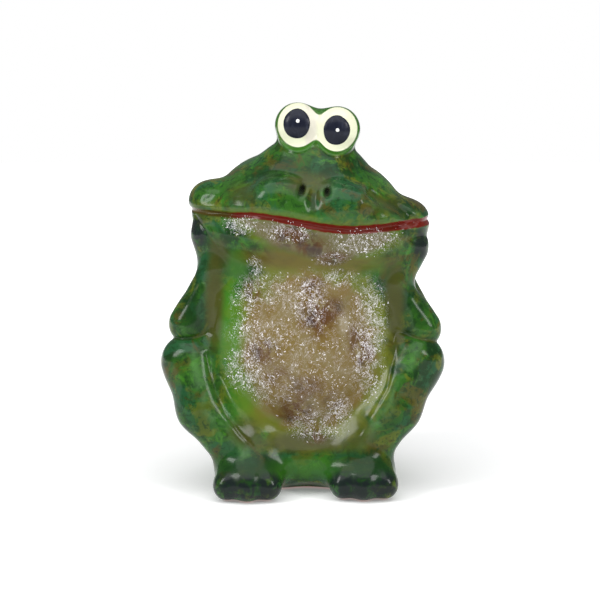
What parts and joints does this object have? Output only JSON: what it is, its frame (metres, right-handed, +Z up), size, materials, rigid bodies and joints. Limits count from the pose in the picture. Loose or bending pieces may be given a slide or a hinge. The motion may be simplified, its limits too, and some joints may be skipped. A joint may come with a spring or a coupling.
{
  "type": "ceramic frog money box",
  "caption": "Seated frog money box in glazed clay, chin on its hands, with a coin slot in its upper back and a rubber stopper in its base.",
  "frame": {"origin": "middle of the footprint box, on the ground", "axes": "+Z up; the frog looks along -Y; +X to the right of someone facing the frog"},
  "size_m": [0.1218, 0.0922, 0.1661],
  "materials": {
    "glaze": "glossy green mottled glaze over clay, with white sponged speckle",
    "raw_clay": "unglazed terracotta, matt",
    "stopper_rubber": "matt black rubber"
  },
  "bodies": {
    "figure": {"front_shell": "glaze", "back_shell": "glaze", "base_slab": "raw_clay"},
    "stopper": {"stopper": "stopper_rubber"}
  },
  "joints": [
    {"name": "stopper_pull", "type": "slide", "parent": "figure", "child": "stopper", "axis": [0, 0, -1], "range_m": [0, 0.02]}
  ]
}
